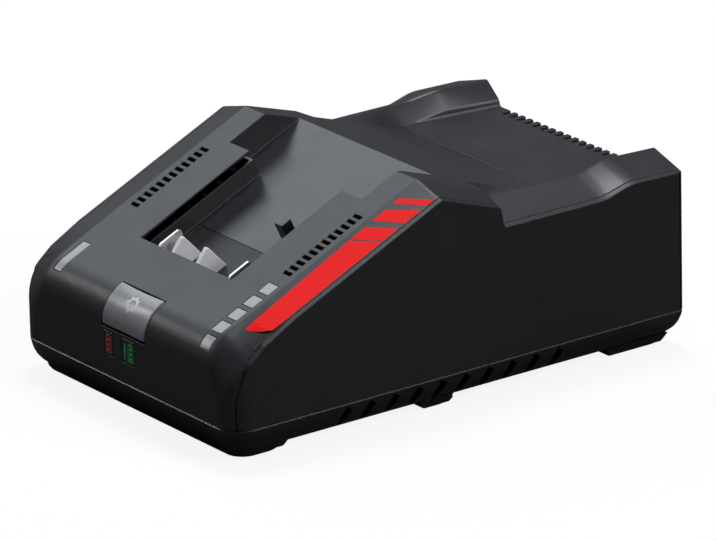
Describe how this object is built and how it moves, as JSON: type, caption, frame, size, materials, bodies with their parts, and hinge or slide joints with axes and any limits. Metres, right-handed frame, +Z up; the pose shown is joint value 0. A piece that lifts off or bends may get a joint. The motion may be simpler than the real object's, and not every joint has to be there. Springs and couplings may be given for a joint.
{
  "type": "battery charger",
  "caption": "Mains charger for slide-on tool batteries: sloped deck with a rail bay, side cheeks, charge lights, a nose button and an internal fan.",
  "frame": {"origin": "under the middle of the object, on the plane of the rubber feet", "axes": "X across, Y from the nose with the button to the rear wall with the cord gland, Z up"},
  "size_m": [0.128, 0.192, 0.0804],
  "materials": {
    "lower_housing": "fine moulded texture",
    "upper_housing": "fine moulded texture",
    "side_panel_right": "satin",
    "side_panel_left": "satin",
    "mode_button": "satin",
    "switch_plunger": "gloss",
    "tact_switch": "satin",
    "alert_light_pipe": "frosted",
    "level_light_pipe": "frosted",
    "red_window": "clear tinted",
    "green_window": "clear tinted",
    "display_board": "solder resist",
    "display_leds": "gloss",
    "contact_carrier": "satin",
    "outer_contacts": "tin plated",
    "guide_fins": "satin",
    "board_link": "flat film",
    "main_board": "solder resist",
    "insulating_sheet": "matt film",
    "transformer_core": "sintered",
    "transformer_bobbin": "satin",
    "transformer_winding": "polyester tape",
    "bulk_capacitor": "shrink sleeve",
    "output_capacitors": "shrink sleeve",
    "heatsink_primary": "extruded",
    "heatsink_secondary": "extruded",
    "power_devices": "moulded epoxy",
    "bridge_rectifier": "moulded epoxy",
    "mains_choke": "enamelled copper",
    "output_choke": "enamelled copper",
    "x_capacitor": "box moulding",
    "fuse": "nickel plated",
    "mains_terminal": "satin",
    "fan_frame": "satin",
    "fan_rotor": "satin",
    "fan_baffle": "satin",
    "cord_gland": "matt",
    "rubber_feet": "matt",
    "housing_screws": "zinc plated",
    "board_screws": "zinc plated"
  },
  "bodies": {
    "charger_body": {"lower_housing": "lower_housing", "upper_housing": "upper_housing", "side_panel_right": "side_panel_right", "side_panel_left": "side_panel_left", "tact_switch": "tact_switch", "alert_light_pipe": "alert_light_pipe", "level_light_pipe": "level_light_pipe", "red_window": "red_window", "green_window": "green_window", "display_board": "display_board", "display_leds": "display_leds", "contact_carrier": "contact_carrier", "outer_contacts": "outer_contacts", "guide_fins": "guide_fins", "board_link": "board_link", "main_board": "main_board", "insulating_sheet": "insulating_sheet", "transformer_core": "transformer_core", "transformer_bobbin": "transformer_bobbin", "transformer_winding": "transformer_winding", "bulk_capacitor": "bulk_capacitor", "output_capacitors": "output_capacitors", "heatsink_primary": "heatsink_primary", "heatsink_secondary": "heatsink_secondary", "power_devices": "power_devices", "bridge_rectifier": "bridge_rectifier", "mains_choke": "mains_choke", "output_choke": "output_choke", "x_capacitor": "x_capacitor", "fuse": "fuse", "mains_terminal": "mains_terminal", "fan_frame": "fan_frame", "fan_baffle": "fan_baffle", "cord_gland": "cord_gland", "rubber_feet": "rubber_feet", "housing_screws": "housing_screws", "board_screws": "board_screws"},
    "mode_button": {"mode_button": "mode_button"},
    "switch_plunger": {"switch_plunger": "switch_plunger"},
    "fan_rotor": {"fan_rotor": "fan_rotor"}
  },
  "joints": [
    {"name": "mode_button_press", "type": "slide", "parent": "charger_body", "child": "mode_button", "axis": [0, 0.4163, -0.9092], "range_m": [0, 0.0005], "stiffness_N_per_m": 1500},
    {"name": "switch_plunger_press", "type": "slide", "parent": "charger_body", "child": "switch_plunger", "axis": [0, 0.4163, -0.9092], "range_m": [0, 0.00025]},
    {"name": "fan_spin", "type": "hinge", "parent": "charger_body", "child": "fan_rotor", "pos_m": [0, 0.0808, 0.029], "axis": [0, 1, 0], "continuous": true}
  ],
  "couplings": [
    {"joint": "switch_plunger_press", "follows": "mode_button_press", "ratio": 0.5}
  ]
}
